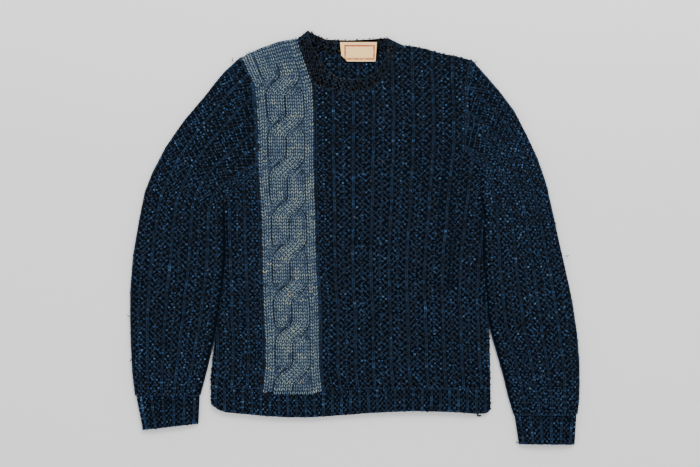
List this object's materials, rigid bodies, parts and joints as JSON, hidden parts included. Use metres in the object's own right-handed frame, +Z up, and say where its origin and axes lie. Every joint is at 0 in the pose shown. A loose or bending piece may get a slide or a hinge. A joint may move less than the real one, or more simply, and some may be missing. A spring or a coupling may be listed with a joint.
{
  "type": "darned knit sweater",
  "caption": "Long-sleeved crew-neck jumper of dark broad-rib knit, laid flat with its front up, mended with a paler cable-knit strip set into the front.",
  "frame": {"origin": "on the table under the middle of the garment's outline", "axes": "+Z up from the table through the garment, +Y towards the neck, +X towards the wearer's left sleeve, which is at the right seen from above"},
  "size_m": [0.783, 0.7228, 0.0157],
  "materials": {
    "navy_knit": "matte heathered navy wool yarn, chunky knit",
    "marled_knit": "matte marled grey-blue and beige wool yarn, cable knit",
    "worn_knit": "matte wool yarn, worn and browned",
    "woven_label": "smooth woven tape, slight sheen"
  },
  "bodies": {
    "root": {"back": "navy_knit", "front_main": "navy_knit", "front_side": "navy_knit", "cable_panel": "marled_knit", "sleeve_right": "navy_knit", "sleeve_left": "navy_knit", "cuff_right": "navy_knit", "cuff_left": "navy_knit", "hem_front": "navy_knit", "hem_back": "navy_knit", "neckband": "worn_knit", "label": "woven_label"}
  },
  "joints": []
}
